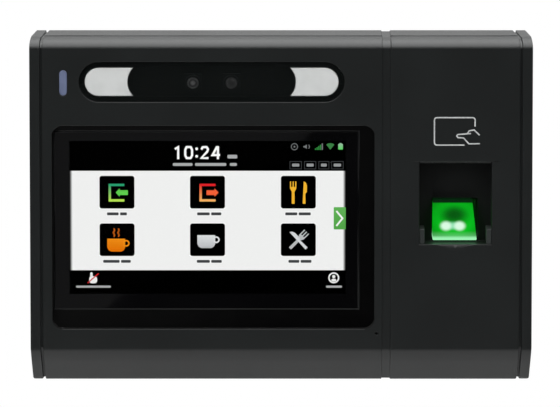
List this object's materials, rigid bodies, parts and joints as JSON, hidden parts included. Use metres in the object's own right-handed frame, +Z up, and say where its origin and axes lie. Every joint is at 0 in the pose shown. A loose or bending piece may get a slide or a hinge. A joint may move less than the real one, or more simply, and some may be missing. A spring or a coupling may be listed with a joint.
{
  "type": "fingerprint scanner terminal",
  "caption": "Wall-mounted access terminal with a touch display, a camera window and a lit fingerprint reader in a card zone, on a lift-off wall plate.",
  "frame": {"origin": "middle of the width and height, on the wall plane behind the wall plate", "axes": "+Z up, -Y out of the face towards the user, +X to the right seen from the front"},
  "size_m": [0.28, 0.0406, 0.194],
  "materials": {
    "case_plastic": "fine grained matt",
    "rear_plastic": "fine grained matt",
    "dark_plastic": "matt",
    "light_plastic": "smooth",
    "rubber": "matt",
    "cover_glass": "polished, black printed border",
    "display": "lit screen",
    "smoked_window": "polished dark",
    "diffuser": "milky",
    "lens": "coated",
    "prism": "clear, lit green",
    "sheet_steel": "zinc plated",
    "bright_metal": "tin plated",
    "screw_steel": "zinc plated",
    "brass": "turned",
    "circuit_board": "solder resist",
    "copper": "copper and film",
    "ribbon": "flat cable",
    "led": "smooth"
  },
  "bodies": {
    "wall_mount": {"wall_plate": "sheet_steel"},
    "terminal": {"main_rear_housing": "rear_plastic", "main_front_cover": "case_plastic", "reader_rear_housing": "rear_plastic", "reader_front_cover": "case_plastic", "joint_strip": "case_plastic", "left_end_cap": "case_plastic", "right_end_cap": "case_plastic", "housing_seals": "rubber", "touch_glass": "cover_glass", "glass_gasket": "rubber", "lcd_cell": "display", "lcd_frame": "sheet_steel", "display_bracket": "sheet_steel", "camera_window": "smoked_window", "lamp_diffusers": "diffuser", "camera_board": "circuit_board", "camera_modules": "dark_plastic", "camera_lenses": "lens", "lamp_leds": "led", "status_light_pipe": "diffuser", "status_led": "led", "main_board": "circuit_board", "processor_shield": "bright_metal", "board_chips": "dark_plastic", "coin_cell_holder": "dark_plastic", "coin_cell": "bright_metal", "network_jack": "bright_metal", "power_jack": "dark_plastic", "wiring_sockets": "light_plastic", "ribbon_sockets": "light_plastic", "display_ribbon": "copper", "camera_ribbon": "copper", "link_ribbon": "ribbon", "microphone": "bright_metal", "microphone_boot": "rubber", "antenna_board": "circuit_board", "antenna_coil": "copper", "reader_board": "circuit_board", "finger_well": "dark_plastic", "sensor_prism": "prism", "sensor_housing": "dark_plastic", "sensor_board": "circuit_board", "sensor_leds": "led", "sensor_imager": "dark_plastic", "speaker": "dark_plastic", "port_board": "circuit_board", "usb_port": "bright_metal", "reset_switch": "dark_plastic", "tamper_switch": "dark_plastic", "screw_insert": "brass", "housing_screws": "screw_steel", "board_screws": "screw_steel", "sensor_screws": "screw_steel", "cap_screws": "screw_steel"},
    "security_screw": {"security_screw": "screw_steel"},
    "usb_flap": {"usb_flap": "dark_plastic"},
    "reset_button": {"reset_button": "dark_plastic"},
    "tamper_plunger": {"tamper_plunger": "light_plastic"}
  },
  "joints": [
    {"name": "terminal_lift", "type": "slide", "parent": "wall_mount", "child": "terminal", "axis": [0, 0, 1], "range_m": [0, 0.008]},
    {"name": "security_screw_out", "type": "slide", "parent": "wall_mount", "child": "security_screw", "axis": [0, 0, -1], "range_m": [0, 0.0105]},
    {"name": "usb_flap_hinge", "type": "hinge", "parent": "terminal", "child": "usb_flap", "pos_m": [-0.098, -0.0095, -0.0956], "axis": [1, 0, 0], "range_deg": [0, 95]},
    {"name": "reset_press", "type": "slide", "parent": "terminal", "child": "reset_button", "axis": [0, 0, 1], "range_m": [0, 0.0008], "stiffness_N_per_m": 400, "springref_m": -0.0005},
    {"name": "tamper_extend", "type": "slide", "parent": "terminal", "child": "tamper_plunger", "axis": [0, 0, -1], "range_m": [0, 0.0024]}
  ],
  "couplings": [
    {"joint": "tamper_extend", "follows": "terminal_lift", "ratio": 0.3}
  ]
}
